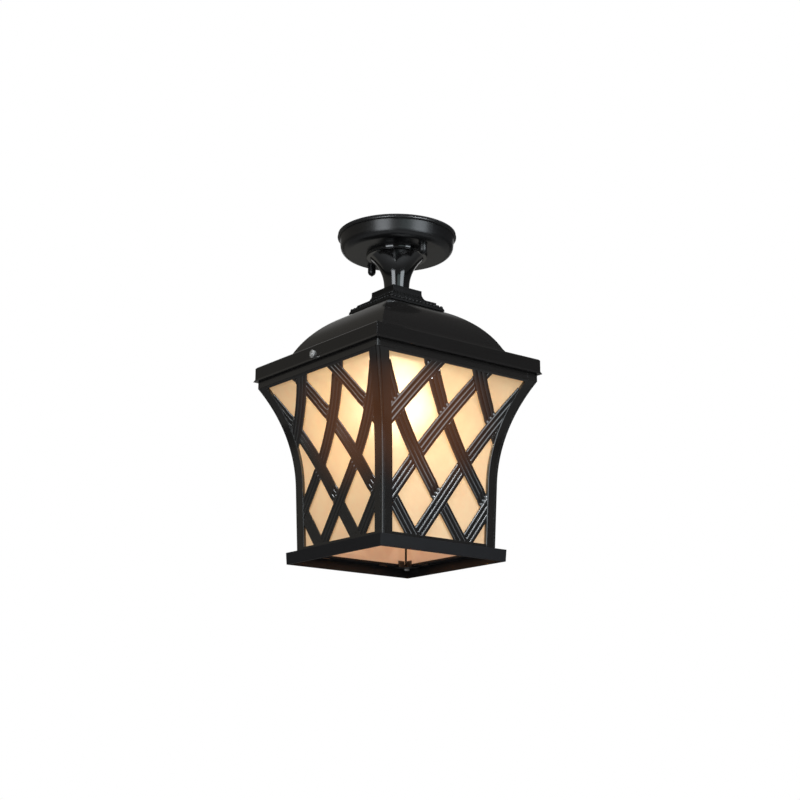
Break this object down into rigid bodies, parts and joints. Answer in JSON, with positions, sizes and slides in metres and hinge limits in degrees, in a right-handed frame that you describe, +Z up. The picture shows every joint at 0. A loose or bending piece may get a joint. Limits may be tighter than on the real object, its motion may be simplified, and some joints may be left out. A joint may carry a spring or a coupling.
{
  "type": "porch ceiling lantern",
  "caption": "Square ceiling lantern with a domed roof, flared woven-lattice sides and curved amber glass, on a short trumpet stem and round canopy.",
  "frame": {"origin": "the ceiling plane on the lamp's vertical axis, midway between the two box slots of the bracket", "axes": "+Z up into the ceiling, so the whole part lies below z = 0; the two knob nuts lie along X and the two roof screws along Y"},
  "size_m": [0.2, 0.2016, 0.3278],
  "materials": {
    "black_paint": "satin black powder coat",
    "black_knob": "satin black on brass",
    "zinc_plate": "bright zinc plate",
    "screw_steel": "stainless steel",
    "tube_steel": "yellow zinc plate",
    "gasket_foam": "closed-cell foam",
    "holder_ceramic": "glazed",
    "holder_brass": "drawn",
    "lamp_cap_metal": "rolled thread",
    "lamp_insulator_black": "glass insulation",
    "lamp_solder": "solder",
    "bulb_glass": "frosted",
    "pane_glass": "frosted amber"
  },
  "bodies": {
    "fixture": {"ceiling_gasket": "gasket_foam", "ceiling_bracket": "zinc_plate", "canopy_studs": "screw_steel", "stud_lock_nuts": "zinc_plate", "earth_screw": "holder_brass", "canopy": "black_paint", "threaded_tube": "tube_steel", "tube_washer_upper": "zinc_plate", "tube_nut": "tube_steel", "stem": "black_paint", "pedestal": "black_paint", "roof": "black_paint", "tube_washer_lower": "zinc_plate", "holder_cap": "holder_brass", "lampholder": "holder_ceramic", "terminal_screws": "holder_brass", "screw_shell": "holder_brass", "centre_contact": "holder_brass"},
    "knob_washer_left": {"knob_washer_left": "black_knob"},
    "knob_nut_left": {"knob_nut_left": "black_knob"},
    "knob_washer_right": {"knob_washer_right": "black_knob"},
    "knob_nut_right": {"knob_nut_right": "black_knob"},
    "roof_screw_front": {"roof_screw_front": "screw_steel"},
    "roof_nut_front": {"roof_nut_front": "zinc_plate"},
    "roof_screw_back": {"roof_screw_back": "screw_steel"},
    "roof_nut_back": {"roof_nut_back": "zinc_plate"},
    "lamp_tip": {"lamp_contact": "lamp_solder"},
    "lamp": {"lamp_cap": "lamp_cap_metal", "lamp_insulator": "lamp_insulator_black", "lamp_bulb": "bulb_glass"},
    "cage": {"top_frame": "black_paint", "panel_right": "black_paint", "panel_back": "black_paint", "panel_left": "black_paint", "panel_front": "black_paint", "glass_right": "pane_glass", "glass_back": "pane_glass", "glass_left": "pane_glass", "glass_front": "pane_glass", "base_frame": "black_paint", "corner_clip_1": "zinc_plate", "corner_clip_2": "zinc_plate", "corner_clip_3": "zinc_plate", "corner_clip_4": "zinc_plate", "clip_screws": "screw_steel", "panel_screws": "screw_steel"}
  },
  "joints": [
    {"name": "knob_washer_left_drop", "type": "slide", "parent": "fixture", "child": "knob_washer_left", "axis": [0, 0, -1], "range_m": [0, 0.004]},
    {"name": "knob_nut_left_turn", "type": "hinge", "parent": "knob_washer_left", "child": "knob_nut_left", "pos_m": [-0.041, 0, -0.0265], "axis": [0, 0, -1], "range_deg": [0, 2060]},
    {"name": "knob_washer_right_drop", "type": "slide", "parent": "fixture", "child": "knob_washer_right", "axis": [0, 0, -1], "range_m": [0, 0.004]},
    {"name": "knob_nut_right_turn", "type": "hinge", "parent": "knob_washer_right", "child": "knob_nut_right", "pos_m": [0.041, 0, -0.0265], "axis": [0, 0, -1], "range_deg": [0, 2060]},
    {"name": "roof_nut_front_travel", "type": "slide", "parent": "fixture", "child": "roof_nut_front", "axis": [0, 1, 0], "range_m": [0, 0.004]},
    {"name": "roof_screw_front_turn", "type": "hinge", "parent": "fixture", "child": "roof_screw_front", "pos_m": [0, -0.0986, -0.1412], "axis": [0, -1, 0], "range_deg": [0, 2060]},
    {"name": "roof_nut_back_travel", "type": "slide", "parent": "fixture", "child": "roof_nut_back", "axis": [0, -1, 0], "range_m": [0, 0.004]},
    {"name": "roof_screw_back_turn", "type": "hinge", "parent": "fixture", "child": "roof_screw_back", "pos_m": [0, 0.0986, -0.1412], "axis": [0, 1, 0], "range_deg": [0, 2060]},
    {"name": "lamp_unscrew_drop", "type": "slide", "parent": "fixture", "child": "lamp_tip", "axis": [0, 0, -1], "range_m": [0, 0.0263]},
    {"name": "lamp_turn", "type": "hinge", "parent": "lamp_tip", "child": "lamp", "pos_m": [0, 0, -0.112], "axis": [0, 0, -1], "range_deg": [0, 2615]},
    {"name": "cage_drop", "type": "slide", "parent": "fixture", "child": "cage", "axis": [0, 0, -1], "range_m": [0, 0.17]}
  ],
  "couplings": [
    {"joint": "knob_nut_left_turn", "follows": "knob_washer_left_drop", "rad_per_m": 8976},
    {"joint": "knob_nut_right_turn", "follows": "knob_washer_right_drop", "rad_per_m": 8976},
    {"joint": "roof_screw_front_turn", "follows": "roof_nut_front_travel", "rad_per_m": 8976},
    {"joint": "roof_screw_back_turn", "follows": "roof_nut_back_travel", "rad_per_m": 8976},
    {"joint": "lamp_turn", "follows": "lamp_unscrew_drop", "rad_per_m": 1731.4}
  ]
}
